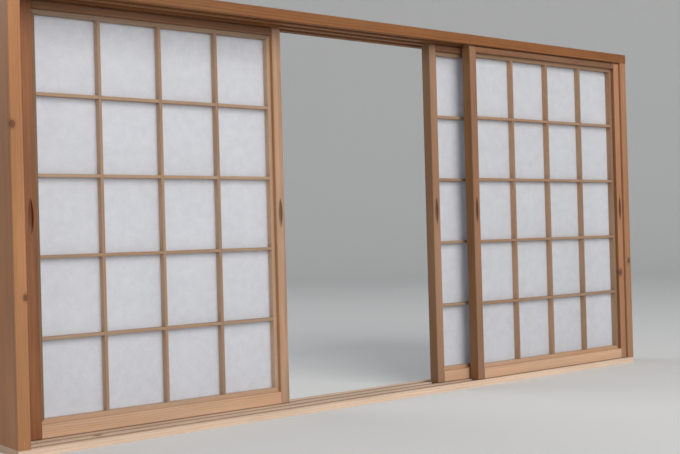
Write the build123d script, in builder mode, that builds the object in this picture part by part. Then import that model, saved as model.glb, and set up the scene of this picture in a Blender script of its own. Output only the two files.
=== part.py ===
"""Sliding paper screen for a window: three latticed panels, each on its own track in one frame.

Millimetres. X runs along the opening, Y goes in from the lattice side to the paper side and
Z is up. The origin is the middle of the frame's underside. The right panel stands shut, the
middle one part open and the left one a little off its jamb.
"""
import os

from build123d import *

os.makedirs("parts", exist_ok=True)

# Lattice of one panel
columns = 4
rows = 5
cell_width = 143.0
cell_height = 166.0
bar_face = 7.5
bar_depth = 16.0
bar_arris = 0.6
bar_tenon_length = 4.0
bar_tenon_face = 3.5
bar_tenon_depth = 9.0
edge_strip_face = 10.0

# Stiles and rails of one panel
panel_depth = 30.0
stile_face = 25.0
top_rail_face = 15.0
bottom_rail_face = 29.0
arris = 1.2
rail_tenon_length = 19.0
rail_tenon_depth = 10.0
rail_tenon_shoulder = 2.5

# Paper, glued to the back of the lattice and into a shallow rebate round it
paper_thickness = 0.4
paper_margin = 5.0
paper_rebate_face = 6.0
paper_rebate_depth = 3.0

# Finger pull, a boat-shaped hollow half way up the front of every stile
pull_length = 80.0
pull_width = 12.0
pull_depth = 5.5
pull_wall_slope = 25.0
cutter_overrun = 1.0

# Frame and its three tracks
tracks = 3
jamb_thickness = 27.0
sill_thickness = 16.0
head_thickness = 27.0
front_reveal = 6.0
track_gap = 8.0
back_lip = 14.0
frame_arris = 1.5
sill_groove_depth = 3.0
head_groove_depth = 15.0
head_tongue_height = 11.0
tongue_depth = 20.0
frame_tenon_length = 8.0
frame_tenon_face = 11.0
frame_tenon_depth = 80.0

# Clearances
groove_play = 0.5
running_gap = 0.3
foot_gap = 1.0
lifting_gap = 4.0
glue_space = 0.5

# How far neighbouring panels lap when shut, and how far each stands off its own end
meeting_lap = 21.75
left_panel_off_jamb = 32.0
middle_panel_off_jamb = 119.0
right_panel_off_jamb = 1.5

# Widths
column_pitch = cell_width + bar_face
lattice_width = columns * cell_width + (columns - 1) * bar_face + 2 * edge_strip_face
panel_width = lattice_width + 2 * stile_face
opening_width = tracks * panel_width - (tracks - 1) * meeting_lap
frame_width = opening_width + 2 * jamb_thickness

# Heights
row_pitch = cell_height + bar_face
lattice_height = rows * cell_height + (rows - 1) * bar_face + 2 * edge_strip_face
sill_top = sill_thickness
tongue_foot = sill_top - sill_groove_depth + running_gap
panel_foot = sill_top + foot_gap
lattice_foot = panel_foot + bottom_rail_face
lattice_top = lattice_foot + lattice_height
panel_top = lattice_top + top_rail_face
head_underside = panel_top + lifting_gap
tongue_top = head_underside + head_tongue_height
head_top = head_underside + head_thickness

# Depths
track_pitch = panel_depth + track_gap
frame_depth = front_reveal + (tracks - 1) * track_pitch + panel_depth + back_lip
first_track_y = -frame_depth / 2 + front_reveal + panel_depth / 2
track_places = [first_track_y + track_pitch * i for i in range(tracks)]
groove_width = tongue_depth + 2 * groove_play


def keep(piece, label):
    """Label a finished piece and write its file."""
    piece.part.label = label
    export_step(piece.part, f"parts/{label}.step")


def lattice_back(y_mid):
    """Depth at which the bars and edge strips end and the paper begins."""
    return y_mid + panel_depth / 2 - paper_rebate_depth


def upright_bar_places(panel_x):
    """Middles of a panel's upright bars along X."""
    first = panel_x + stile_face + edge_strip_face - bar_face / 2
    return [first + column_pitch * i for i in range(1, columns)]


def cross_bar_heights():
    """Middles of the cross bars, from the foot up."""
    first = lattice_foot + edge_strip_face - bar_face / 2
    return [first + row_pitch * i for i in range(1, rows)]


def rail_tenon_spans():
    """Lowest and highest points of the bottom and the top rail's tenons."""
    return (
        (panel_foot + rail_tenon_shoulder, lattice_foot - rail_tenon_shoulder),
        (lattice_top + rail_tenon_shoulder, panel_top - rail_tenon_shoulder),
    )


def finger_pull(middle_x, front_y):
    """The hollow to be cut: a boat-shaped outline, walls that slope in and a floor that is one arc."""
    middle_z = (lattice_foot + lattice_top) / 2
    low = middle_z - pull_length / 2
    high = middle_z + pull_length / 2
    with BuildPart() as hollow:
        with BuildSketch(Plane.XZ.offset(-front_y)):
            with BuildLine():
                ThreePointArc((middle_x, low), (middle_x + pull_width / 2, middle_z), (middle_x, high))
                ThreePointArc((middle_x, high), (middle_x - pull_width / 2, middle_z), (middle_x, low))
            make_face()
        extrude(amount=-(pull_depth + cutter_overrun), taper=pull_wall_slope)
        with BuildSketch(Plane.YZ.offset(middle_x)):
            with BuildLine():
                ThreePointArc((front_y, low), (front_y + pull_depth, middle_z), (front_y, high))
                Line((front_y, high), (front_y, low))
            make_face()
        extrude(amount=pull_width, both=True, mode=Mode.INTERSECT)
    return hollow.part


def stile(label, outer_x, inward, y_mid):
    """One upright of a panel; inward is 1 on a left stile and -1 on a right one."""
    middle_x = outer_x + inward * stile_face / 2
    inner_x = outer_x + inward * stile_face
    front_y = y_mid - panel_depth / 2
    back_y = y_mid + panel_depth / 2
    cheek = (panel_depth - tongue_depth) / 2
    pull = finger_pull(middle_x, front_y)
    with BuildPart() as piece:
        with BuildSketch(Plane.XY.offset(tongue_foot)) as section:
            with Locations((middle_x, y_mid)):
                Rectangle(stile_face, panel_depth)
            chamfer(section.vertices().sort_by(Axis.Y)[:2], length=arris)
        extrude(amount=tongue_top - tongue_foot)

        # Cheeks cut away at both ends, which leaves the tongues that run in the tracks
        for z_end, z_shoulder in ((tongue_foot, panel_foot), (tongue_top, panel_top)):
            with BuildSketch(Plane.XY.offset(z_end)):
                with Locations((middle_x, front_y + cheek / 2), (middle_x, back_y - cheek / 2)):
                    Rectangle(stile_face, cheek)
            extrude(amount=z_shoulder - z_end, mode=Mode.SUBTRACT)

        # Rebate for the paper's edge
        with BuildSketch(Plane.XY.offset(lattice_foot - paper_rebate_face)):
            with Locations((inner_x - inward * paper_rebate_face / 2, back_y - paper_rebate_depth / 2)):
                Rectangle(paper_rebate_face, paper_rebate_depth)
        extrude(amount=lattice_height + 2 * paper_rebate_face, mode=Mode.SUBTRACT)

        # Mortises for the two rails
        with BuildSketch(Plane.YZ.offset(inner_x)):
            for z_low, z_high in rail_tenon_spans():
                with Locations((y_mid, (z_low + z_high) / 2)):
                    Rectangle(rail_tenon_depth, z_high - z_low)
        extrude(amount=-inward * (rail_tenon_length + glue_space), mode=Mode.SUBTRACT)

        add(pull, mode=Mode.SUBTRACT)
    keep(piece, label)


def rail(label, panel_x, y_mid, at_top):
    """A rail between the stiles, with its tongue, its paper rebate and a tenon at each end."""
    middle_x = panel_x + panel_width / 2
    outward = 1 if at_top else -1
    inner_z = lattice_top if at_top else lattice_foot
    shoulder_z = panel_top if at_top else panel_foot
    tip_z = tongue_top if at_top else tongue_foot
    front_y = y_mid - panel_depth / 2
    back_y = y_mid + panel_depth / 2
    with BuildPart() as piece:
        with BuildSketch(Plane.YZ.offset(middle_x)):
            with BuildLine():
                Polyline(
                    (front_y + arris, inner_z),
                    (front_y, inner_z + outward * arris),
                    (front_y, shoulder_z),
                    (y_mid - tongue_depth / 2, shoulder_z),
                    (y_mid - tongue_depth / 2, tip_z),
                    (y_mid + tongue_depth / 2, tip_z),
                    (y_mid + tongue_depth / 2, shoulder_z),
                    (back_y, shoulder_z),
                    (back_y, inner_z + outward * paper_rebate_face),
                    (back_y - paper_rebate_depth, inner_z + outward * paper_rebate_face),
                    (back_y - paper_rebate_depth, inner_z),
                    close=True,
                )
            make_face()
        extrude(amount=lattice_width / 2, both=True)

        z_low, z_high = rail_tenon_spans()[1 if at_top else 0]
        for side in (-1, 1):
            with BuildSketch(Plane.YZ.offset(middle_x + side * lattice_width / 2)):
                with Locations((y_mid, (z_low + z_high) / 2)):
                    Rectangle(rail_tenon_depth, z_high - z_low)
            extrude(amount=side * rail_tenon_length)
    keep(piece, label)


def edge_strip(label, panel_x, y_mid, side):
    """One of the four mitred strips that line the panel and hold the ends of the bars."""
    back_y = lattice_back(y_mid)
    bar_y = back_y - bar_depth / 2
    left = panel_x + stile_face
    right = left + lattice_width
    low, high = lattice_foot, lattice_top
    inset = edge_strip_face
    outlines = {
        "left": ((left, low), (left, high), (left + inset, high - inset), (left + inset, low + inset)),
        "right": ((right, low), (right - inset, low + inset), (right - inset, high - inset), (right, high)),
        "bottom": ((left, low), (left + inset, low + inset), (right - inset, low + inset), (right, low)),
        "top": ((left, high), (right, high), (right - inset, high - inset), (left + inset, high - inset)),
    }
    with BuildPart() as piece:
        with BuildSketch(Plane.XZ.offset(-back_y)):
            with BuildLine():
                Polyline(*outlines[side], close=True)
            make_face()
        extrude(amount=bar_depth)

        outward = -1 if side in ("left", "bottom") else 1
        if side in ("left", "right"):
            mouth = Plane.YZ.offset(left + inset if side == "left" else right - inset)
            spots = [(bar_y, z) for z in cross_bar_heights()]
            size = (bar_tenon_depth, bar_tenon_face)
        else:
            mouth = Plane.XY.offset(low + inset if side == "bottom" else high - inset)
            spots = [(x, bar_y) for x in upright_bar_places(panel_x)]
            size = (bar_tenon_face, bar_tenon_depth)
        with BuildSketch(mouth):
            with Locations(*spots):
                Rectangle(*size)
        extrude(amount=outward * (bar_tenon_length + glue_space), mode=Mode.SUBTRACT)
    keep(piece, label)


def upright_bar(label, x_mid, y_mid):
    """An upright bar, halved from behind where each cross bar passes."""
    back_y = lattice_back(y_mid)
    bar_y = back_y - bar_depth / 2
    low = lattice_foot + edge_strip_face
    high = lattice_top - edge_strip_face
    with BuildPart() as piece:
        with BuildSketch(Plane.XY.offset(low)) as section:
            with Locations((x_mid, bar_y)):
                Rectangle(bar_face, bar_depth)
            chamfer(section.vertices().sort_by(Axis.Y)[:2], length=bar_arris)
        extrude(amount=high - low)
        for end, way in ((low, -1), (high, 1)):
            with BuildSketch(Plane.XY.offset(end)):
                with Locations((x_mid, bar_y)):
                    Rectangle(bar_tenon_face, bar_tenon_depth)
            extrude(amount=way * bar_tenon_length)
        with BuildSketch(Plane.XZ.offset(-back_y)):
            with Locations(*[(x_mid, z) for z in cross_bar_heights()]):
                Rectangle(bar_face, bar_face)
        extrude(amount=bar_depth / 2, mode=Mode.SUBTRACT)
    keep(piece, label)


def cross_bar(label, panel_x, y_mid, z_mid):
    """A cross bar, halved from the front where each upright bar passes."""
    back_y = lattice_back(y_mid)
    bar_y = back_y - bar_depth / 2
    left = panel_x + stile_face + edge_strip_face
    right = panel_x + panel_width - stile_face - edge_strip_face
    with BuildPart() as piece:
        with BuildSketch(Plane.YZ.offset(left)) as section:
            with Locations((bar_y, z_mid)):
                Rectangle(bar_depth, bar_face)
            chamfer(section.vertices().sort_by(Axis.Y)[:2], length=bar_arris)
        extrude(amount=right - left)
        for end, way in ((left, -1), (right, 1)):
            with BuildSketch(Plane.YZ.offset(end)):
                with Locations((bar_y, z_mid)):
                    Rectangle(bar_tenon_depth, bar_tenon_face)
            extrude(amount=way * bar_tenon_length)
        with BuildSketch(Plane.XZ.offset(-(back_y - bar_depth))):
            with Locations(*[(x, z_mid) for x in upright_bar_places(panel_x)]):
                Rectangle(bar_face, bar_face)
        extrude(amount=-bar_depth / 2, mode=Mode.SUBTRACT)
    keep(piece, label)


def paper(label, panel_x, y_mid):
    """The sheet of paper, flat against the back of the lattice."""
    with BuildPart() as piece:
        with BuildSketch(Plane.XZ.offset(-lattice_back(y_mid))):
            with Locations((panel_x + panel_width / 2, (lattice_foot + lattice_top) / 2)):
                Rectangle(lattice_width + 2 * paper_margin, lattice_height + 2 * paper_margin)
        extrude(amount=-paper_thickness)
    keep(piece, label)


def panel(name, panel_x, y_mid):
    """Every piece of one sliding panel."""
    stile(f"{name}_left_stile", panel_x, 1, y_mid)
    stile(f"{name}_right_stile", panel_x + panel_width, -1, y_mid)
    rail(f"{name}_top_rail", panel_x, y_mid, at_top=True)
    rail(f"{name}_bottom_rail", panel_x, y_mid, at_top=False)
    for side in ("left", "right", "bottom", "top"):
        edge_strip(f"{name}_{side}_edge_strip", panel_x, y_mid, side)
    for i, x_mid in enumerate(upright_bar_places(panel_x), 1):
        upright_bar(f"{name}_upright_bar_{i}", x_mid, y_mid)
    for i, z_mid in enumerate(reversed(cross_bar_heights()), 1):
        cross_bar(f"{name}_cross_bar_{i}", panel_x, y_mid, z_mid)
    paper(f"{name}_paper", panel_x, y_mid)


def jamb(label, side):
    """An upright board of the frame, with a stub tenon into the sill and one into the head."""
    middle_x = side * (opening_width + jamb_thickness) / 2
    with BuildPart() as piece:
        with BuildSketch(Plane.XY.offset(sill_top)) as section:
            with Locations((middle_x, 0)):
                Rectangle(jamb_thickness, frame_depth)
            chamfer(section.vertices().sort_by(Axis.Y)[:2], length=frame_arris)
        extrude(amount=head_underside - sill_top)
        for end, way in ((sill_top, -1), (head_underside, 1)):
            with BuildSketch(Plane.XY.offset(end)):
                with Locations((middle_x, 0)):
                    Rectangle(frame_tenon_face, frame_tenon_depth)
            extrude(amount=way * frame_tenon_length)
    keep(piece, label)


def track_board(label, profile, face_z, way, groove_depth):
    """The sill or the head: a board with three stopped tracks and a mortise for each jamb."""
    with BuildPart() as piece:
        with BuildSketch(Plane.YZ):
            with BuildLine():
                Polyline(*profile, close=True)
            make_face()
        extrude(amount=frame_width / 2, both=True)
        with BuildSketch(Plane.XY.offset(face_z)):
            with Locations(*[(0, y) for y in track_places]):
                Rectangle(opening_width, groove_width)
        extrude(amount=way * groove_depth, mode=Mode.SUBTRACT)
        with BuildSketch(Plane.XY.offset(face_z)):
            with GridLocations(opening_width + jamb_thickness, 0, 2, 1):
                Rectangle(frame_tenon_face, frame_tenon_depth)
        extrude(amount=way * (frame_tenon_length + glue_space), mode=Mode.SUBTRACT)
    keep(piece, label)


# Frame: the sill and the head run the full width, under and over the jambs
front_face = -frame_depth / 2
back_face = frame_depth / 2
sill_profile = (
    (front_face, 0),
    (back_face, 0),
    (back_face, sill_top),
    (front_face + frame_arris, sill_top),
    (front_face, sill_top - frame_arris),
)
head_profile = (
    (front_face + frame_arris, head_underside),
    (back_face, head_underside),
    (back_face, head_top),
    (front_face, head_top),
    (front_face, head_underside + frame_arris),
)
track_board("sill", sill_profile, sill_top, -1, sill_groove_depth)
track_board("head", head_profile, head_underside, 1, head_groove_depth)
jamb("left_jamb", -1)
jamb("right_jamb", 1)

# Panels: the right one runs in the front track, the middle one behind it, the left one at the back
left_end = -opening_width / 2
right_end = opening_width / 2 - panel_width
front_track_y, middle_track_y, back_track_y = track_places
panel("left_panel", left_end + left_panel_off_jamb, back_track_y)
panel("middle_panel", right_end - middle_panel_off_jamb, middle_track_y)
panel("right_panel", right_end - right_panel_off_jamb, front_track_y)

print("opening", opening_width, "panel", panel_width, "frame", frame_width, frame_depth, head_top)
print("travel of a panel", opening_width - panel_width)
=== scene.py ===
import math

import bpy
import numpy as np
from bpy.props import FloatProperty, FloatVectorProperty, IntProperty, PointerProperty
from mathutils import Matrix, Vector


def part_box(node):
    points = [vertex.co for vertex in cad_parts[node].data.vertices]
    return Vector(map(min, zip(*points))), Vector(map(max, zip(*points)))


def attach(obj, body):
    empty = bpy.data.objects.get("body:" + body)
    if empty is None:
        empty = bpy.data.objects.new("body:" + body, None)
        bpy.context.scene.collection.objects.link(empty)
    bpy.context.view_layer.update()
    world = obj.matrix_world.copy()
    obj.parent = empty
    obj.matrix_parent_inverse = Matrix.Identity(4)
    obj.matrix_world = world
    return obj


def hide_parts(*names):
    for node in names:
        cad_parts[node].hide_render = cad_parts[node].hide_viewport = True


bl_info = {
    "name": "Sliding Paper Screen",
    "version": (1, 0, 0),
    "blender": (4, 5, 0),
    "location": "View3D > Sidebar > Screen",
    "description": "Gives a window of sliding paper panels its timber, its paper and a plain stage",
    "category": "Object",
}

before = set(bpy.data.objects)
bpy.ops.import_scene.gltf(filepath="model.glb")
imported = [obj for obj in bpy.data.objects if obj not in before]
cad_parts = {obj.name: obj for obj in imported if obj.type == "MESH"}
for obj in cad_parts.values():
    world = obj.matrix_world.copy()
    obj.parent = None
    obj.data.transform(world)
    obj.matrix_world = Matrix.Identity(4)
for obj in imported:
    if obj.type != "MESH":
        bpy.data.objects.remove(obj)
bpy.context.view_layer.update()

PANELS = ("left_panel", "middle_panel", "right_panel")

# Seeds of the random draws: the first piece of timber's, the bars' tones', and the first sheet's
TIMBER_SEED = 100
BARS_SEED = 11
PAPER_SEED = 40

# Noises in the timber: features to a metre across the grain, and along it
GRAIN = {
    "drift": (9.0, 1.7),
    "second drift": (9.0, 1.3),
    "fine": (160.0, 6.0),
    "ragged": (420.0, 260.0),
    "fibre": (1100.0, 22.0),
    "cloud": (22.0, 3.2),
    "strength": (60.0, 2.0),
    "warm": (4.0, 2.1),
}
SECOND_DRIFT_SHIFT = (5.0, 0.0, 9.0)
# The log: where along it a board starts and how far off the pith stands, in metres, and the pith's
# direction, in half turns
BOARD_START = (3.0, 40.0)
PITH_OFFSET = (0.05, 0.11)
PITH_SIDE = (0.15, 0.5)
# How far fine noise and good and poor years shift the rings, in years, and how often such years come
# in a metre
FINE_SHIFT = 0.35
YEARS_SHIFT = 1.7
GOOD_YEARS = 130.0
# The part of a year in which the late wood darkens, and the part in which it ends
LATE_RISE = (0.25, 0.92)
LATE_END = (0.94, 1.0)
# How much late wood shows where it is faint, and how much more where it is strong
LATE_FAINT = 0.16
LATE_STRONG = 0.42
# Where late wood gets strong and where the wood turns red, as noise goes from the first to the second
STRENGTH_RISE = (0.25, 0.75)
WARM_RISE = (0.35, 0.65)
WARM_TINT = (1.0, 0.87, 0.77)
# How far fibres and clouds lighten and darken the wood, from darkest to lightest
FIBRE_CONTRAST = 0.4
CLOUD_CONTRAST = 0.4
# A face looks along an axis where its normal's share of that axis passes from the first to the second
FACE_TURN = (0.6, 0.9)
END_DARK = 0.55
# What roughness gains or loses by fibres, late wood and end grain
FIBRE_ROUGH = 0.22
LATE_ROUGH = -0.07
END_ROUGH = 0.12
# How strong the relief is, and what late wood and fibres add to its height
GRAIN_BUMP = 0.6
LATE_BUMP = 0.7
FIBRE_BUMP = 0.6
TIMBER_GLOSS = 0.25
ARRIS_SAMPLES = 6
# The late wood of bleached timber has this share of the early wood's light
BLEACHED_LATE = 0.62

# A knot's length, depth and hump in radii, and the raggedness of its outline
KNOT_LENGTH = 1.45
KNOT_DEPTH = 2.0
KNOT_HUMP = 1.6
KNOT_RAGGED = 0.5
# A knot's masks rise or fall between these distances; 1 is at its bark line
KNOT_BEND = (0.6, 3.4)
KNOT_HEART = (0.25, 1.0)
KNOT_RIM_START = (0.55, 0.9)
KNOT_RIM_END = (0.95, 1.3)
KNOT_HALO = (0.9, 2.3)
# How strongly each mask colours the wood; the halo takes some of the dark wood and some of the knot
HALO_DARK = 0.5
HALO_KNOT = 0.12
HEART_KNOT = 0.75
RIM_KNOT = 0.65

# Dirt and painted shade at the panels' feet and in the sill's tracks, in their own heights: how uneven
# their top is, over what it fades there, and how far below the top they begin and are full
DIRT_AND_SHADE_UNEVEN = 0.6
DIRT_AND_SHADE_TOP_FADE = 0.4
DIRT_AND_SHADE_LOWEST = 3.4
DIRT_AND_SHADE_LOWEST_FULL = 3.0
# Over how many metres it ends at its reach, how strong it is, and its share of the dark wood's light
DIRT_AND_SHADE_EDGE = 0.001
DIRT_AND_SHADE_STRENGTH = 0.62
DIRT_AND_SHADE_DARKNESS = 0.45

# A finger pull: depths behind the face in metres, then distances from its middle that are 1 at its outline
PULL_BACK = (0.006, 0.009)
PULL_DEPTH = (0.0002, 0.0022)
PULL_HOLLOW = (0.9, 1.03)
PULL_STAIN = (0.8, 2.4)
PULL_LIT_END = (0.3, 0.95)
# How strong the stain and the hollow's grime and painted shade are, what painted light at the lower end
# takes off that, the hollow's share of the dark wood's light, and what touch takes off the roughness
STAIN_STRENGTH = 0.22
HOLLOW_STRENGTH = 0.75
HOLLOW_LIT_END = 0.5
HOLLOW_SHADE = 0.5
STAIN_POLISH = 0.1

# Knots: two places across the grain and one along it, from the piece's middle, and radius, in metres
JAMB_KNOTS = {
    "left_jamb": ((-0.0092, -0.063, 0.1885, 0.005), (0.0090, -0.063, -0.160, 0.0042)),
    "right_jamb": ((0.001, -0.063, -0.160, 0.005),),
}
STILE_KNOTS = {"right_panel_right_stile": ((-0.006, -0.015, -0.199, 0.0065),)}
SILL_KNOTS = ((-0.0228, 0.008, -0.812, 0.0055), (0.0155, 0.008, 0.43, 0.005))
# How wide the rings of each kind of piece are, against the ring spacing of the settings
RING_WIDTHS = {"board": 1.1, "sill": 1.2, "stile": 0.85, "rail": 0.9, "bar": 0.6}
# How strongly the red stretches of each kind of piece are tinted
WARMTH = {"board": 0.7, "sill": 0.2, "stile": 0.7, "rail": 0.4, "bar": 0.7}
# How light the wood of each piece is, and how far it is bleached; below 0 its colour is deeper
FRAME_LOOKS = {"head": (0.57, -0.2), "left_jamb": (0.98, -0.05), "right_jamb": (0.87, 0.18)}
# The same for the stiles, and the tint of their sides: painted light on the left panel's right stile,
# painted shade on the others; the left stiles' lower tones are partly painted shade too
STILE_LOOKS = {
    "left_panel_left_stile": (0.62, -0.25, (0.70, 0.62, 0.50)),
    "left_panel_right_stile": (0.99, 0.6, (1.15, 1.0, 0.75)),
    "middle_panel_left_stile": (0.79, 0.35, (0.72, 0.68, 0.57)),
    "middle_panel_right_stile": (0.9, 0.35, (0.70, 0.62, 0.50)),
    "right_panel_left_stile": (0.68, 0.2, (0.88, 0.85, 0.63)),
    "right_panel_right_stile": (0.95, 0.15, (0.70, 0.62, 0.50)),
}
# The upper rails' low tone is painted shade from the head above them
RAIL_TONES = {"top": 0.5, "bottom": 1.09}
# How far each panel's bars are bleached, and how light they are; the upright ones are less bleached
BAR_BLEACH = {"left_panel": 0.6, "middle_panel": 0.4, "right_panel": 0.3}
BAR_TONE = 0.84
UPRIGHT_TONE = 0.78
UPRIGHT_BLEACH = 0.25
BAR_VARIETY = (0.96, 1.12)
# The sides of the bars get painted light: they are paler than their fronts
BAR_PAINTED_SIDE_LIGHT = (1.36, 1.40, 1.46)
UPRIGHT_PAINTED_SIDE_LIGHT = (1.53, 1.64, 1.78)
# How light the top and bottom edge strips are: painted shade from the head on the top ones, painted light
# on the bottom ones; the others named here carry painted light on the left panel's right strip and painted
# shade on the other three, and also differ from the bars in bleach
TOP_STRIP_TONE = 0.72
BOTTOM_STRIP_TONE = 1.18
STRIP_LOOKS = {
    "left_panel_left_edge_strip": (0.5, -0.1),
    "left_panel_right_edge_strip": (1.05, 0.6),
    "right_panel_left_edge_strip": (0.64, 0.1),
    "right_panel_right_edge_strip": (0.66, 0.15),
}

# Paper, in features to a metre: clouds of pulp, broad shade, and patches where fibres gather
PULP_CLOUDS = 42.0
BROAD_SHADE = 7.0
FIBRE_PATCHES = 95.0
# Each layer of fibres: its turn in the sheet, its shift, and features to a metre across the fibres
FIBRE_LAYERS = ((0.35, 0.0, 300.0), (1.45, 0.31, 260.0), (2.5, 0.77, 340.0), (0.9, 1.23, 300.0))
FIBRES_ALONG = 45.0
FIBRE_WIDTH = 0.013
# Fibres show as the patches' noise goes from the first to the second
THIN_PATCHES = (0.42, 0.62)
COARSE_PATCHES = (0.5, 0.66)
PULP_RISE = (0.28, 0.72)
FIBRE_STRENGTH = 0.75
COARSE_STRENGTH = 0.45
SHADE_CONTRAST = 0.10
PAPER_ROUGH = 0.92
PAPER_GLOSS = 0.15
PAPER_BUMP = 0.35
PAPER_RELIEF = 0.0002
PAPER_FIBRE_BUMP = 0.6
# The cockle's waves in radians to a metre: a chequer, then ripples with their height, along x and along z
CHEQUER = (38.0, 21.0)
RIPPLES = ((0.6, 17.0, 29.0), (0.4, -13.0, 61.0))
# Shares of the cockle: what every pane has in its middle, and what a wave of height 1 adds
COCKLE_EVEN = 0.55
COCKLE_WAVES = 0.22
# Edges of a sheet that bend by more than this stay sharp
SHARP_ANGLE = math.radians(40.0)

# Lamps: where each stands, the length of its side, and its colour; both look at the middle
LAMPS = {
    "key": ((-0.4, -5.4, 3.3), 4.8, (1.0, 0.98, 0.95)),
    "fill": ((-2.2, 4.2, 3.2), 3.4, (0.95, 0.97, 1.0)),
}
STAGE_MIDDLE = (0.0, 0.0, 0.45)
FLOOR_ROUGH = 0.85


def colour_property(name, description, default):
    """A colour that the sidebar shows as a swatch."""
    return FloatVectorProperty(
        name=name, description=description, subtype="COLOR", size=3, min=0.0, max=1.0, default=default
    )


def length_property(name, description, default):
    """A length in metres that the sidebar shows in the scene's units."""
    return FloatProperty(name=name, description=description, default=default, min=0.0, unit="LENGTH")


def share_property(name, description, default):
    """A plain number from 0 to 1."""
    return FloatProperty(name=name, description=description, default=default, min=0.0, max=1.0)


def angle_property(name, description, degrees):
    """An angle that the sidebar shows in degrees."""
    return FloatProperty(name=name, description=description, subtype="ANGLE", default=math.radians(degrees))


def power_property(name, description, default):
    """A lamp's power in watts."""
    return FloatProperty(name=name, description=description, default=default, unit="POWER")


def steps_property(name, description, default, least):
    """A number of grid steps, at least least."""
    return IntProperty(name=name, description=description, default=default, min=least)


class TimberSettings(bpy.types.PropertyGroup):
    """Colours and grain of the timber on the screen."""

    board_pale: colour_property("Frame, early wood", "Soft wood of the jambs and head", (0.44, 0.215, 0.10))
    board_dark: colour_property("Frame, late wood", "Hard lines in the jambs and head", (0.26, 0.10, 0.038))
    sill_pale: colour_property("Sill, early wood", "Soft wood of the weathered sill", (0.745, 0.57, 0.44))
    sill_dark: colour_property("Sill, late wood", "Hard lines in the weathered sill", (0.52, 0.325, 0.21))
    stile_pale: colour_property("Stiles, early wood", "Soft wood of the stiles", (0.45, 0.225, 0.12))
    stile_dark: colour_property("Stiles, late wood", "Hard lines in the stiles", (0.27, 0.11, 0.05))
    rail_pale: colour_property("Rails, early wood", "Soft wood of the bottom rails", (0.59, 0.388, 0.26))
    rail_dark: colour_property("Rails, late wood", "Hard lines in the bottom rails", (0.43, 0.24, 0.135))
    bar_pale: colour_property("Bars, early wood", "Soft wood of the lattice", (0.42, 0.26, 0.16))
    bar_dark: colour_property("Bars, late wood", "Hard lines in the lattice", (0.28, 0.15, 0.08))
    bleached: colour_property("Bleached wood", "What sun and hands make of the wood", (0.50, 0.37, 0.27))
    knot_colour: colour_property("Knots", "Heart of a knot", (0.115, 0.042, 0.018))
    knot_rim: colour_property("Knot rims", "Bark line round a knot", (0.055, 0.022, 0.012))
    ring_spacing: length_property("Ring spacing", "Width of one year's growth", 0.0034)
    ring_wander: length_property("Ring wander", "How far the rings stray along a board", 0.003)
    arris_radius: length_property("Arris radius", "Rounding of every edge", 0.0009)
    # How far dirt and painted shade reach up the panels' feet, and how far from the sill's middle
    dirt_and_shade_height: length_property("Foot dirt", "How far dirt has crept up the panels' feet", 0.0022)
    dirt_and_shade_reach: length_property("Dirt reach", "How far from the middle of the sill the dirt goes", 0.0602)
    grain_relief: length_property("Grain relief", "Height of the late wood over the early wood", 0.00025)
    roughness: share_property("Roughness", "Roughness of planed and oiled timber", 0.56)


class PaperSettings(bpy.types.PropertyGroup):
    """The paper on the back of the lattice."""

    colour: colour_property("Paper", "Colour of the sheet", (0.79, 0.80, 0.845))
    shade: colour_property("Thin patches", "Colour where the pulp lies thin", (0.72, 0.735, 0.78))
    fibre_colour: colour_property("Fibres", "Colour of the long fibres", (0.90, 0.905, 0.93))
    thick_fibre: colour_property("Coarse fibres", "Colour of the coarse fibres", (0.50, 0.50, 0.52))
    see_through: share_property("See-through", "Share of the light that passes a face", 0.30)
    cockle: length_property("Cockle", "How far a taut pane bellies back between the bars", 0.0007)
    pane_steps: steps_property("Pane steps", "Grid steps across one pane", 14, 2)
    edge_steps: steps_property("Edge steps", "Grid steps over a bar or a glued edge", 2, 1)


class StageSettings(bpy.types.PropertyGroup):
    """Camera, floor and lamps."""

    focal_pixels: FloatProperty(name="Focal length", description="In pixels of the frame", default=1055.9)
    frame_width: IntProperty(name="Frame width", description="Width of the frame in pixels", default=680)
    sensor_width: FloatProperty(name="Sensor width", description="In millimetres", default=36.0)
    eye: FloatVectorProperty(
        name="Eye",
        description="Where the camera stands",
        subtype="TRANSLATION",
        default=(-1.7970, -2.1174, 0.4338),
    )
    yaw: angle_property("Yaw", "Turn from +Y towards +X", 38.372)
    pitch: angle_property("Pitch", "Tilt upwards", 0.310)
    roll: angle_property("Roll", "Turn about the view", 1.554)
    floor_colour: colour_property("Floor", "Plain pale floor", (0.84, 0.835, 0.82))
    floor_radius: length_property("Floor radius", "Flat part of the round floor", 7.0)
    cove_radius: length_property("Cove radius", "Curve between the floor and the wall round it", 3.0)
    wall_height: length_property("Wall height", "Top of the wall round the floor", 5.0)
    sky_colour: colour_property("Sky", "Colour of the light from all round", (0.90, 0.95, 1.0))
    sky_strength: FloatProperty(name="Sky strength", description="Light from all round", default=0.32)
    key_power: power_property("Key", "Large lamp in front and above", 275.0)
    fill_power: power_property("Fill", "Large lamp behind and above", 66.0)


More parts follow.
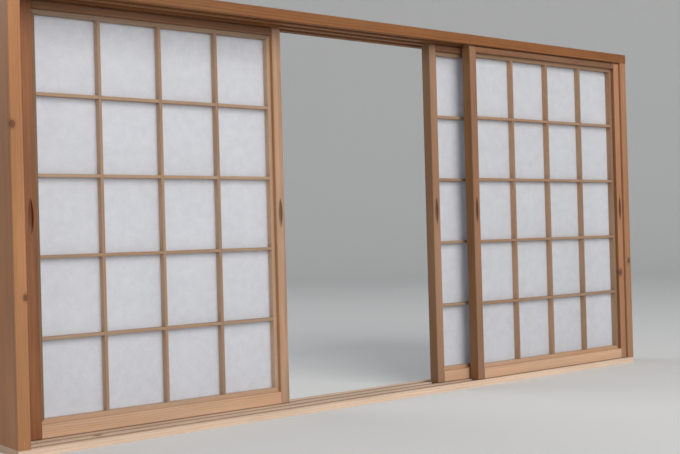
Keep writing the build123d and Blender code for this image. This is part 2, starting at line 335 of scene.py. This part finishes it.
class Value:
    """A number or a vector that comes out of a socket; arithmetic on it adds Math nodes."""

    def __init__(self, finish, socket):
        self.finish = finish
        self.socket = socket

    def _math(self, operation, first, second=None):
        inputs = {0: first} if second is None else {0: first, 1: second}
        return self.finish.node("ShaderNodeMath", {"operation": operation}, inputs)

    def __add__(self, other):
        return self._math("ADD", self, other)

    def __radd__(self, other):
        return self._math("ADD", other, self)

    def __sub__(self, other):
        return self._math("SUBTRACT", self, other)

    def __rsub__(self, other):
        return self._math("SUBTRACT", other, self)

    def __mul__(self, other):
        return self._math("MULTIPLY", self, other)

    def __rmul__(self, other):
        return self._math("MULTIPLY", other, self)

    def __truediv__(self, other):
        return self._math("DIVIDE", self, other)

    def __rtruediv__(self, other):
        return self._math("DIVIDE", other, self)

    def __abs__(self):
        return self._math("ABSOLUTE", self)

    def fraction(self):
        """What is left over the whole number below."""
        return self._math("FRACT", self)

    def root(self):
        """The square root."""
        return self._math("SQRT", self)

    def most(self, other):
        """The larger of the two."""
        return self._math("MAXIMUM", self, other)

    def rise(self, low, high):
        """A smooth step from 0 at low to 1 at high."""
        return self.finish.node(
            "ShaderNodeMapRange",
            {"interpolation_type": "SMOOTHSTEP"},
            {"Value": self, "From Min": low, "From Max": high, "To Min": 0.0, "To Max": 1.0},
        )

    def fall(self, low, high):
        """A smooth step from 1 at low to 0 at high."""
        return 1.0 - self.rise(low, high)


class Finish:
    """One material and the nodes that make it."""

    def __init__(self, name):
        self.material = bpy.data.materials.new(name)
        self.material.use_nodes = True
        self.tree = self.material.node_tree
        self.tree.nodes.clear()

    def node(self, kind, settings=None, inputs=None, output=0):
        """Adds a node: its settings first, then the values or links of its sockets."""
        made = self.tree.nodes.new(kind)
        for name, value in (settings or {}).items():
            setattr(made, name, value)
        for key, value in (inputs or {}).items():
            if isinstance(value, Value):
                self.tree.links.new(value.socket, made.inputs[key])
            else:
                made.inputs[key].default_value = value
        return Value(self, made.outputs[output])

    def parts(self, vector):
        """A vector's three numbers."""
        first = self.node("ShaderNodeSeparateXYZ", {}, {0: vector})
        return [Value(self, socket) for socket in first.socket.node.outputs]

    def place(self, centre):
        """Object coordinates measured from centre, as three numbers."""
        raw = self.node("ShaderNodeTexCoord", output="Object")
        moved = self.node("ShaderNodeMapping", {}, {"Vector": raw, "Location": [-c for c in centre]})
        return self.parts(moved)

    def vector(self, x, y, z):
        """Three numbers as one vector."""
        return self.node("ShaderNodeCombineXYZ", {}, {0: x, 1: y, 2: z})

    def noise(self, vector, detail=2.0, roughness=0.5):
        """Soft noise from 0 to 1 with one feature to a unit of vector."""
        return self.node(
            "ShaderNodeTexNoise",
            {"noise_dimensions": "3D"},
            {"Vector": vector, "Scale": 1.0, "Detail": detail, "Roughness": roughness},
        )

    def patches(self, vector, features, detail=2.0, roughness=0.5):
        """Soft noise with that many features to a metre in every direction."""
        drawn = self.node("ShaderNodeMapping", {}, {"Vector": vector, "Scale": (features,) * 3})
        return self.noise(drawn, detail, roughness)

    def blend(self, factor, first, second, way="MIX"):
        """Two colours mixed by factor."""
        return self.node(
            "ShaderNodeMix",
            {"data_type": "RGBA", "blend_type": way},
            {0: factor, 6: opaque(first), 7: opaque(second)},
            output=2,
        )

    def scaled(self, colour, factor):
        """A colour made lighter or darker by factor."""
        return self.node("ShaderNodeVectorMath", {"operation": "SCALE"}, {0: colour, "Scale": factor})

    def show(self, shader):
        """Makes shader what the material shows."""
        output = self.tree.nodes.new("ShaderNodeOutputMaterial")
        self.tree.links.new(shader.socket, output.inputs["Surface"])
        return self.material


def opaque(colour):
    """A plain colour with full alpha; a link stays as it is."""
    return colour if isinstance(colour, Value) else (*colour, 1.0)


def between(first, second, share):
    """The colour that lies a share of the way from first to second."""
    return tuple(a + (b - a) * share for a, b in zip(first, second))


def weathered(pale, dark, settings, bleach):
    """Early and late wood's colours a share of the way to bleached ones; a share below 0 deepens them."""
    bleached_dark = [c * BLEACHED_LATE for c in settings.bleached]
    return between(pale, settings.bleached, bleach), between(dark, bleached_dark, bleach)


def longest_axis(low, high):
    """0, 1 or 2: the axis along which a piece is longest, which is its grain's."""
    return int(np.argmax(np.array(high) - np.array(low)))


def knot_field(across, inward, along, ragged, knots):
    """What the knots do: how far they push the rings, and masks of heart, rim and halo.

    A knot is round on the face, drawn out by nearly a half along the grain, and runs into the
    board for twice its size. Its distance is the root of the summed squares of the three places
    over its three sizes, made ragged by noise: 1 at the bark line. The rings bend round it by a
    hump that dies away over its bend, and the wood round it is darker out to the halo's end.
    """
    push = heart = rim = halo = 0.0
    for place_across, place_inward, place_along, radius in knots:
        da = (across - place_across) / radius
        di = (inward - place_inward) / (KNOT_DEPTH * radius)
        dl = (along - place_along) / (KNOT_LENGTH * radius)
        distance = (da * da + di * di + dl * dl).root() + ragged
        push = distance.fall(*KNOT_BEND) * (KNOT_HUMP * radius) + push
        heart = distance.fall(*KNOT_HEART).most(heart)
        rim = (distance.rise(*KNOT_RIM_START) * distance.fall(*KNOT_RIM_END)).most(rim)
        halo = distance.fall(*KNOT_HALO).most(halo)
    return push, heart, rim, halo


def seed_of(node):
    """A steady number for a piece, from its place in the list of nodes."""
    return TIMBER_SEED + sorted(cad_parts).index(node)


def timber(node, kind, shades, settings, tone=1.0, knots=(), pull=None, dirt_and_shade=None, painted_side_light=None):
    """Planed softwood, cut from a log of its own.

    The rings are circles about a pith line that runs beside the piece: ring number = distance
    from the line / spacing, with the line wandering along the board and good and poor years
    making it uneven. Within a year the colour darkens slowly and drops back at once, and over
    some decimetres it turns from tan to red and back. Thin fibres run along the grain, long
    clouds of colour lie over them, and end grain is darker. In a band below a given height the
    wood is darker: partly dirt, partly painted shade of the gap over the sill and of its tracks.
    The colour of the faces that look along X is multiplied by a tint of painted light and shade:
    most stiles' sides get painted shade, darker than their fronts, and the bars' sides painted
    light, paler than their fronts.
    """
    pale, dark = shades
    low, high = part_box(node)
    centre = (low + high) / 2
    grain = longest_axis(low, high)
    draw = np.random.default_rng(seed_of(node))
    finish = Finish(f"{node}_timber")
    xyz = finish.place(centre)
    a, b = [xyz[i] for i in range(3) if i != grain]
    along = xyz[grain]
    stretch = along + float(draw.uniform(*BOARD_START))

    def grained(name, detail=2.0, roughness=0.5, shift=(0.0, 0.0, 0.0)):
        """One of the noises in GRAIN, drawn out along the board."""
        across, lengthwise = GRAIN[name]
        spot = (a * across, b * across, stretch * lengthwise)
        return finish.noise(finish.vector(*(s + d for s, d in zip(spot, shift))), detail, roughness)

    # the pith stands off the piece's middle, mostly across its wide face
    angle = draw.uniform(*PITH_SIDE) * math.pi * draw.choice((-1, 1))
    offset = draw.uniform(*PITH_OFFSET)
    pith_a, pith_b = offset * math.cos(angle), offset * math.sin(angle)
    wander = 2 * settings.ring_wander
    drift_a = (grained("drift") - 0.5) * wander
    drift_b = (grained("second drift", shift=SECOND_DRIFT_SHIFT) - 0.5) * wander
    push = 0.0
    if knots:
        ragged = (grained("ragged") - 0.5) * KNOT_RAGGED
        push, heart, rim, halo = knot_field(a, b, along, ragged, knots)
    da, db = a - pith_a + drift_a, b - pith_b + drift_b
    distance = (da * da + db * db).root() + push
    uneven = finish.noise(finish.vector(distance * GOOD_YEARS, 0.0, 0.0), detail=1.0)
    rings = distance / (settings.ring_spacing * RING_WIDTHS[kind])
    year = (rings + grained("fine") * FINE_SHIFT + uneven * YEARS_SHIFT).fraction()
    late = year.rise(*LATE_RISE) * year.fall(*LATE_END)

    fibre = grained("fibre", detail=3.0, roughness=0.6)
    cloud = grained("cloud")
    strength = grained("strength").rise(*STRENGTH_RISE)
    warm = grained("warm", detail=1.0).rise(*WARM_RISE)
    colour = finish.blend(late * (strength * LATE_STRONG + LATE_FAINT), pale, dark)
    colour = finish.blend(warm * WARMTH[kind], colour, WARM_TINT, "MULTIPLY")
    colour = finish.scaled(colour, (fibre - 0.5) * FIBRE_CONTRAST + (cloud - 0.5) * CLOUD_CONTRAST + tone)

    # end grain drinks the oil and goes darker
    facing = finish.parts(finish.node("ShaderNodeTexCoord", output="Normal"))
    end = abs(facing[grain]).rise(*FACE_TURN)
    # painted light and shade: the faces that look along X get a tint of it
    if painted_side_light:
        colour = finish.blend(abs(facing[0]).rise(*FACE_TURN), colour, painted_side_light, "MULTIPLY")
    colour = finish.blend(end * END_DARK, colour, dark)
    rough = (fibre - 0.5) * FIBRE_ROUGH + late * LATE_ROUGH + end * END_ROUGH + settings.roughness

    if knots:
        colour = finish.blend(halo * HALO_DARK, colour, dark)
        colour = finish.blend(heart * HEART_KNOT + halo * HALO_KNOT, colour, settings.knot_colour)
        colour = finish.blend(rim * RIM_KNOT, colour, settings.knot_rim)
    # dirt and painted shade: a darker band at the panels' feet and in the sill's tracks
    if dirt_and_shade is not None:
        soiled_and_shaded = foot_dirt_and_shade(xyz, centre, cloud, dirt_and_shade, settings) * (1.0 - end)
        colour = finish.blend(soiled_and_shaded * DIRT_AND_SHADE_STRENGTH, colour, [c * DIRT_AND_SHADE_DARKNESS for c in dark])
    if pull is not None:
        colour, rough = handled_and_shaded(finish, xyz, centre, pull, colour, rough, dark)

    rounded = finish.node("ShaderNodeBevel", {"samples": ARRIS_SAMPLES}, {"Radius": settings.arris_radius})
    height = late * LATE_BUMP + fibre * FIBRE_BUMP
    relief = finish.node(
        "ShaderNodeBump",
        {},
        {"Strength": GRAIN_BUMP, "Distance": settings.grain_relief, "Height": height, "Normal": rounded},
    )
    shader = finish.node(
        "ShaderNodeBsdfPrincipled",
        {},
        {"Base Color": colour, "Roughness": rough, "Normal": relief, "Specular IOR Level": TIMBER_GLOSS},
    )
    return finish.show(shader)


def foot_dirt_and_shade(xyz, centre, cloud, dirt_and_shade, settings):
    """A mask of the band below a given height, within a reach of the sill's middle: dirt and painted shade.
    """
    top, reach = settings.dirt_and_shade_height, settings.dirt_and_shade_reach
    height = xyz[2] + (cloud - 0.5) * (DIRT_AND_SHADE_UNEVEN * top) + centre.z
    below = height.fall(dirt_and_shade - DIRT_AND_SHADE_TOP_FADE * top, dirt_and_shade)
    above = height.rise(dirt_and_shade - DIRT_AND_SHADE_LOWEST * top, dirt_and_shade - DIRT_AND_SHADE_LOWEST_FULL * top)
    return below * above * abs(xyz[1] + centre.y).fall(reach, reach + DIRT_AND_SHADE_EDGE)


def handled_and_shaded(finish, xyz, centre, pull, colour, rough, dark):
    """Darkens the wood round a finger pull where hands have stained it, and its hollow with grime and painted
    shade.

    Distance is 1 on an oval as long and as wide as the pull; the stain fades out at 2.4. The
    hollow's lower end, which faces up, gets painted light: less of the hollow's dark.
    """
    face, middle, half_width, half_length = pull
    dx = (xyz[0] + (centre.x - middle.x)) / half_width
    dz = (xyz[2] + (centre.z - middle.z)) / half_length
    distance = (dx * dx + dz * dz).root()
    depth = xyz[1] + (centre.y - face)
    front = depth.fall(*PULL_BACK)
    # the hollow gets grime and painted shade
    hollow = distance.fall(*PULL_HOLLOW) * depth.rise(*PULL_DEPTH) * front
    touched = distance.fall(*PULL_STAIN) * front
    colour = finish.blend(touched * STAIN_STRENGTH, colour, dark)
    # painted light: the hollow's lower end, which faces up, gets less of the painted shade
    lit_lower_end = (0.0 - dz).rise(*PULL_LIT_END)
    shade = [c * HOLLOW_SHADE for c in dark]
    colour = finish.blend(hollow * (HOLLOW_STRENGTH - lit_lower_end * HOLLOW_LIT_END), colour, shade)
    return colour, rough - touched * STAIN_POLISH


def dress(node, material):
    """Gives a CAD node its finish."""
    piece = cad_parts[node]
    piece.data.materials.clear()
    piece.data.materials.append(material)


class SHOJI_OT_dress_frame(bpy.types.Operator):
    """Give the sill, the head and the two jambs their timber"""

    bl_idname = "shoji.dress_frame"
    bl_label = "Dress frame"

    track_lip: length_property("Track lip", "Clean edge at the top of a track", 0.0008)

    def execute(self, context):
        s = context.scene.shoji_timber
        for node, (tone, bleach) in FRAME_LOOKS.items():
            shades = weathered(s.board_pale, s.board_dark, s, bleach)
            made = timber(node, "board", shades, s, tone=tone, knots=JAMB_KNOTS.get(node, ()))
            dress(node, made)
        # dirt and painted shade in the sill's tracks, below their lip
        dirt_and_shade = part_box("sill")[1].z - self.track_lip
        made = timber("sill", "sill", (s.sill_pale, s.sill_dark), s, knots=SILL_KNOTS, dirt_and_shade=dirt_and_shade)
        dress("sill", made)
        return {"FINISHED"}


class SHOJI_OT_dress_panels(bpy.types.Operator):
    """Give the panels' stiles and rails their timber"""

    bl_idname = "shoji.dress_panels"
    bl_label = "Dress stiles and rails"

    foot_gap: length_property("Foot gap", "Panels stand this far off the sill", 0.001)
    pull_half_width: length_property("Pull half width", "Of a finger pull", 0.0062)
    pull_half_length: length_property("Pull half length", "Of a finger pull", 0.041)

    def execute(self, context):
        s = context.scene.shoji_timber
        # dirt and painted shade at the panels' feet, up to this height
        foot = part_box("sill")[1].z + self.foot_gap + s.dirt_and_shade_height
        for panel in PANELS:
            lattice_low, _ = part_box(f"{panel}_bottom_edge_strip")
            _, lattice_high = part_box(f"{panel}_top_edge_strip")
            for side in ("left", "right"):
                node = f"{panel}_{side}_stile"
                low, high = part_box(node)
                middle = (low + high) / 2
                middle.z = (lattice_low.z + lattice_high.z) / 2
                pull = (low.y, middle, self.pull_half_width, self.pull_half_length)
                tone, bleach, painted_side_light = STILE_LOOKS[node]
                shades = weathered(s.stile_pale, s.stile_dark, s, bleach)
                knots = STILE_KNOTS.get(node, ())
                made = timber(node, "stile", shades, s, tone, knots, pull, foot, painted_side_light)
                dress(node, made)
            # the top rails' tone is painted shade from the head
            rail_shades = {"top": (s.stile_pale, s.stile_dark), "bottom": (s.rail_pale, s.rail_dark)}
            for side, shades in rail_shades.items():
                node = f"{panel}_{side}_rail"
                made = timber(node, "rail", shades, s, tone=RAIL_TONES[side], dirt_and_shade=foot)
                dress(node, made)
        return {"FINISHED"}


def bar_look(node):
    """How light a lattice piece is, how far it is bleached, and the painted light tinting its sides."""
    panel = next(p for p in PANELS if node.startswith(p))
    if "upright_bar" in node:
        return UPRIGHT_TONE, BAR_BLEACH[panel] - UPRIGHT_BLEACH, UPRIGHT_PAINTED_SIDE_LIGHT
    # the strips named here carry painted light and shade in their tones
    if node in STRIP_LOOKS:
        return (*STRIP_LOOKS[node], BAR_PAINTED_SIDE_LIGHT)
    # the top strips' tone is painted shade from the head, the bottom strips' painted light
    tone = TOP_STRIP_TONE if "top_edge" in node else BOTTOM_STRIP_TONE if "bottom_edge" in node else BAR_TONE
    return tone, BAR_BLEACH[panel], BAR_PAINTED_SIDE_LIGHT


class SHOJI_OT_dress_lattice(bpy.types.Operator):
    """Give the lattice bars and the edge strips their timber"""

    bl_idname = "shoji.dress_lattice"
    bl_label = "Dress lattice"

    def execute(self, context):
        s = context.scene.shoji_timber
        draw = np.random.default_rng(BARS_SEED)
        for node in sorted(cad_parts):
            if "_bar_" in node or node.endswith("_edge_strip"):
                tone, bleach, painted_side_light = bar_look(node)
                shades = weathered(s.bar_pale, s.bar_dark, s, bleach)
                tone = draw.uniform(*BAR_VARIETY) * tone
                dress(node, timber(node, "bar", shades, s, tone, painted_side_light=painted_side_light))
        return {"FINISHED"}


def washi(settings):
    """Handmade paper: pulp in soft clouds, crossed by long thin fibres, and a little see-through.

    A fibre is where a noise drawn out along one line crosses its middle value; layers turned
    against each other give fibres in all directions. The last layer's fibres are coarse and darker.
    """
    finish = Finish("paper_sheet")
    raw = finish.node("ShaderNodeTexCoord", output="Object")
    clouds = finish.patches(raw, PULP_CLOUDS, detail=5.0, roughness=0.6)
    layers = []
    for turn, shift, across in FIBRE_LAYERS:
        drawn = finish.node(
            "ShaderNodeMapping",
            {"vector_type": "TEXTURE"},
            {
                "Vector": raw,
                "Rotation": (0.0, turn, 0.0),
                "Location": (shift, shift, shift),
                "Scale": (1.0 / FIBRES_ALONG, 1.0 / FIBRES_ALONG, 1.0 / across),
            },
        )
        layers.append(abs(finish.noise(drawn, detail=1.0) - 0.5).fall(0.0, FIBRE_WIDTH))
    *thin, coarse = layers
    patchy = finish.patches(raw, FIBRE_PATCHES)
    fibres = thin[0].most(thin[1]).most(thin[2]) * patchy.rise(*THIN_PATCHES)
    thick = coarse * patchy.rise(*COARSE_PATCHES)
    colour = finish.blend(clouds.rise(*PULP_RISE), settings.shade, settings.colour)
    colour = finish.blend(fibres * FIBRE_STRENGTH, colour, settings.fibre_colour)
    colour = finish.blend(thick * COARSE_STRENGTH, colour, settings.thick_fibre)
    colour = finish.scaled(colour, (finish.patches(raw, BROAD_SHADE) - 0.5) * SHADE_CONTRAST + 1.0)
    height = fibres * PAPER_FIBRE_BUMP + clouds
    relief = finish.node(
        "ShaderNodeBump", {}, {"Strength": PAPER_BUMP, "Distance": PAPER_RELIEF, "Height": height}
    )
    solid = finish.node(
        "ShaderNodeBsdfPrincipled",
        {},
        {"Base Color": colour, "Roughness": PAPER_ROUGH, "Normal": relief, "Specular IOR Level": PAPER_GLOSS},
    )
    glow = finish.node("ShaderNodeBsdfTranslucent", {}, {"Color": opaque(settings.colour)})
    return finish.show(finish.node("ShaderNodeMixShader", {}, {0: settings.see_through, 1: solid, 2: glow}))


def pane_edges(panel, axis, bar_kind, strips):
    """Along an axis, in order: the paper's two ends, the strips' inner edges and the bars' edges."""
    low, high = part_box(f"{panel}_paper")
    first, last = (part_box(f"{panel}_{strip}_edge_strip") for strip in strips)
    bars = [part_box(node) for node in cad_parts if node.startswith(f"{panel}_{bar_kind}_bar_")]
    inside = sorted(corner[axis] for bar in bars for corner in bar)
    return np.array([low[axis], first[1][axis], *inside, last[0][axis], high[axis]])


def are_panes(gaps):
    """Which gaps are panes: those over half as wide as the widest. The rest are bars and glued edges."""
    return gaps > 0.5 * gaps.max()


def grid_lines(edges, settings):
    """Grid lines from a list of edges: many over each wide pane, few over each bar and glued edge."""
    steps = np.where(are_panes(np.diff(edges)), settings.pane_steps, settings.edge_steps)
    runs = [np.linspace(a, b, n + 1)[:-1] for a, b, n in zip(edges[:-1], edges[1:], steps)]
    return np.concatenate(runs + [edges[-1:]])


def belly(lines, edges):
    """0 on a bar or glued edge; 1 - (2t - 1)^4 over a pane, where t runs from 0 to 1 across it."""
    gaps = np.diff(edges)
    i = np.clip(np.searchsorted(edges, lines, side="right") - 1, 0, len(gaps) - 1)
    t = (lines - edges[i]) / gaps[i]
    return np.where(are_panes(gaps)[i], 1.0 - (2.0 * t - 1.0) ** 4, 0.0)


def cockled(x, z, phases):
    """The paper's waves on the grid x by z: a chequer, sine of x times sine of z, and slanting ripples."""
    gx, gz = x[:, None], z[None, :]
    waves = np.sin(gx * CHEQUER[0] + phases[0]) * np.sin(gz * CHEQUER[1] + phases[1])
    for (height, turns_x, turns_z), phase in zip(RIPPLES, phases[2:]):
        waves = waves + height * np.sin(gx * turns_x + gz * turns_z + phase)
    return waves


def sheet_mesh(name, x, z, front, thickness):
    """A closed sheet: front is its depth on the grid x by z, the back lies one thickness behind it."""
    gx, gz = np.meshgrid(x, z, indexing="ij")
    near = np.stack([gx, front, gz], axis=-1).reshape(-1, 3)
    far = near + (0.0, thickness, 0.0)
    columns, rows = len(x), len(z)
    index = np.arange(columns * rows).reshape(columns, rows)
    quads = np.stack([index[:-1, :-1], index[1:, :-1], index[1:, 1:], index[:-1, 1:]], axis=-1).reshape(-1, 4)
    rim = np.concatenate([index[:, 0], index[-1, 1:], index[-2::-1, -1], index[0, -2:0:-1]])
    after = np.roll(rim, -1)
    count = columns * rows
    walls = np.stack([rim, rim + count, after + count, after], axis=-1)
    faces = np.concatenate([quads, quads[:, ::-1] + count, walls])
    mesh = bpy.data.meshes.new(name)
    mesh.from_pydata(np.concatenate([near, far]).tolist(), [], faces.tolist())
    mesh.polygons.foreach_set("use_smooth", np.ones(len(faces), bool))
    mesh.set_sharp_from_angle(angle=SHARP_ANGLE)
    mesh.update()
    return mesh


def linked(context, name, data):
    """A new object that shows data, in the scene."""
    made = bpy.data.objects.new(name, data)
    context.scene.collection.objects.link(made)
    return made


class SHOJI_OT_hang_paper(bpy.types.Operator):
    """Make the paper sheets, glued to the bars and a little cockled between them"""

    bl_idname = "shoji.hang_paper"
    bl_label = "Hang paper"

    def execute(self, context):
        s = context.scene.shoji_paper
        material = washi(s)
        for number, panel in enumerate(PANELS):
            draw = np.random.default_rng(PAPER_SEED + number)
            low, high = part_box(f"{panel}_paper")
            x_edges = pane_edges(panel, 0, "upright", ("left", "right"))
            z_edges = pane_edges(panel, 2, "cross", ("bottom", "top"))
            x, z = grid_lines(x_edges, s), grid_lines(z_edges, s)
            taut = belly(x, x_edges)[:, None] * belly(z, z_edges)[None, :]
            waves = cockled(x, z, draw.uniform(0.0, 2.0 * math.pi, 4))
            depth = s.cockle * taut * (COCKLE_EVEN + COCKLE_WAVES * waves)
            mesh = sheet_mesh(f"{panel}_paper_sheet", x, z, low.y + np.clip(depth, 0.0, None), high.y - low.y)
            mesh.materials.append(material)
            piece = linked(context, f"{panel}_paper_sheet", mesh)
            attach(piece, panel)
            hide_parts(f"{panel}_paper")
        return {"FINISHED"}


def hang_lamp(context, name, power):
    """A large soft lamp that looks at the stage's middle."""
    place, size, colour = LAMPS[name]
    data = bpy.data.lights.new(name, "AREA")
    data.shape, data.size, data.energy, data.color = "SQUARE", size, power, colour
    lamp = linked(context, name, data)
    lamp.location = place
    lamp.rotation_euler = (Vector(STAGE_MIDDLE) - Vector(place)).to_track_quat("-Z", "Y").to_euler()


def bowl_mesh(name, floor_radius, cove_radius, wall_height, sides=96, cove_steps=24):
    """A flat round floor that curves up into a wall.

    The profile is a quarter circle between two straight lines, turned about Z.
    """
    turn = np.linspace(0.0, math.pi / 2, cove_steps)
    out = np.append(floor_radius + cove_radius * np.sin(turn), floor_radius + cove_radius)
    up = np.append(cove_radius * (1.0 - np.cos(turn)), wall_height)
    around = np.linspace(0.0, 2.0 * math.pi, sides, endpoint=False)
    x, y, z = np.outer(out, np.cos(around)), np.outer(out, np.sin(around)), np.outer(up, np.ones(sides))
    rings = np.stack([x, y, z], axis=-1)
    index = np.arange(rings.shape[0] * sides).reshape(-1, sides)
    after = np.roll(index, -1, axis=1)
    quads = np.stack([index[:-1], after[:-1], after[1:], index[1:]], axis=-1).reshape(-1, 4)[:, ::-1]
    mesh = bpy.data.meshes.new(name)
    mesh.from_pydata(rings.reshape(-1, 3).tolist(), [], [index[0].tolist(), *quads.tolist()])
    mesh.polygons.foreach_set("use_smooth", np.ones(len(mesh.polygons), bool))
    mesh.update()
    return mesh


def aim(yaw, pitch, roll):
    """The camera's turn: its own axes are image right, image up and backwards."""
    forward = Vector((math.sin(yaw) * math.cos(pitch), math.cos(yaw) * math.cos(pitch), math.sin(pitch)))
    level = Vector((math.cos(yaw), -math.sin(yaw), 0.0))
    down = forward.cross(level)
    right = math.cos(roll) * level + math.sin(roll) * down
    up = math.sin(roll) * level - math.cos(roll) * down
    return Matrix((right, up, -forward)).transposed().to_4x4()


class SHOJI_OT_set_stage(bpy.types.Operator):
    """Make the floor, the lamps and the camera"""

    bl_idname = "shoji.set_stage"
    bl_label = "Set stage"

    def execute(self, context):
        s = context.scene.shoji_stage
        mesh = bowl_mesh("floor", s.floor_radius, s.cove_radius, s.wall_height)
        finish = Finish("floor")
        shader = finish.node(
            "ShaderNodeBsdfPrincipled", {}, {"Base Color": opaque(s.floor_colour), "Roughness": FLOOR_ROUGH}
        )
        mesh.materials.append(finish.show(shader))
        linked(context, "floor", mesh)

        world = bpy.data.worlds.new("sky")
        world.use_nodes = True
        sky = world.node_tree.nodes["Background"]
        sky.inputs["Color"].default_value = opaque(s.sky_colour)
        sky.inputs["Strength"].default_value = s.sky_strength
        context.scene.world = world
        hang_lamp(context, "key", s.key_power)
        hang_lamp(context, "fill", s.fill_power)
        context.scene.view_settings.view_transform = "Standard"

        data = bpy.data.cameras.new("camera")
        data.sensor_width = s.sensor_width
        data.lens = s.focal_pixels * s.sensor_width / s.frame_width
        camera = linked(context, "camera", data)
        camera.matrix_world = Matrix.Translation(s.eye) @ aim(s.yaw, s.pitch, s.roll)
        bpy.context.scene.camera = camera
        return {"FINISHED"}


class SHOJI_PT_screen(bpy.types.Panel):
    """Lists the steps and the settings in the 3D view's sidebar."""

    bl_idname = "SHOJI_PT_screen"
    bl_label = "Sliding paper screen"
    bl_space_type = "VIEW_3D"
    bl_region_type = "UI"
    bl_category = "Screen"

    def draw(self, context):
        for operator in OPERATORS:
            self.layout.operator(operator.bl_idname)
        for group in (context.scene.shoji_timber, context.scene.shoji_paper, context.scene.shoji_stage):
            box = self.layout.box()
            for name in group.__annotations__:
                box.prop(group, name)


GROUPS = {"shoji_timber": TimberSettings, "shoji_paper": PaperSettings, "shoji_stage": StageSettings}
OPERATORS = (
    SHOJI_OT_dress_frame,
    SHOJI_OT_dress_panels,
    SHOJI_OT_dress_lattice,
    SHOJI_OT_hang_paper,
    SHOJI_OT_set_stage,
)


def register():
    for name, group in GROUPS.items():
        bpy.utils.register_class(group)
        setattr(bpy.types.Scene, name, PointerProperty(type=group))
    for kind in (*OPERATORS, SHOJI_PT_screen):
        bpy.utils.register_class(kind)


def unregister():
    for kind in (SHOJI_PT_screen, *reversed(OPERATORS)):
        bpy.utils.unregister_class(kind)
    for name, group in reversed(GROUPS.items()):
        delattr(bpy.types.Scene, name)
        bpy.utils.unregister_class(group)


def main():
    """Builds the looks in order."""
    register()
    bpy.ops.shoji.dress_frame()
    bpy.ops.shoji.dress_panels()
    bpy.ops.shoji.dress_lattice()
    bpy.ops.shoji.hang_paper()
    bpy.ops.shoji.set_stage()


if __name__ == "__main__":
    main()
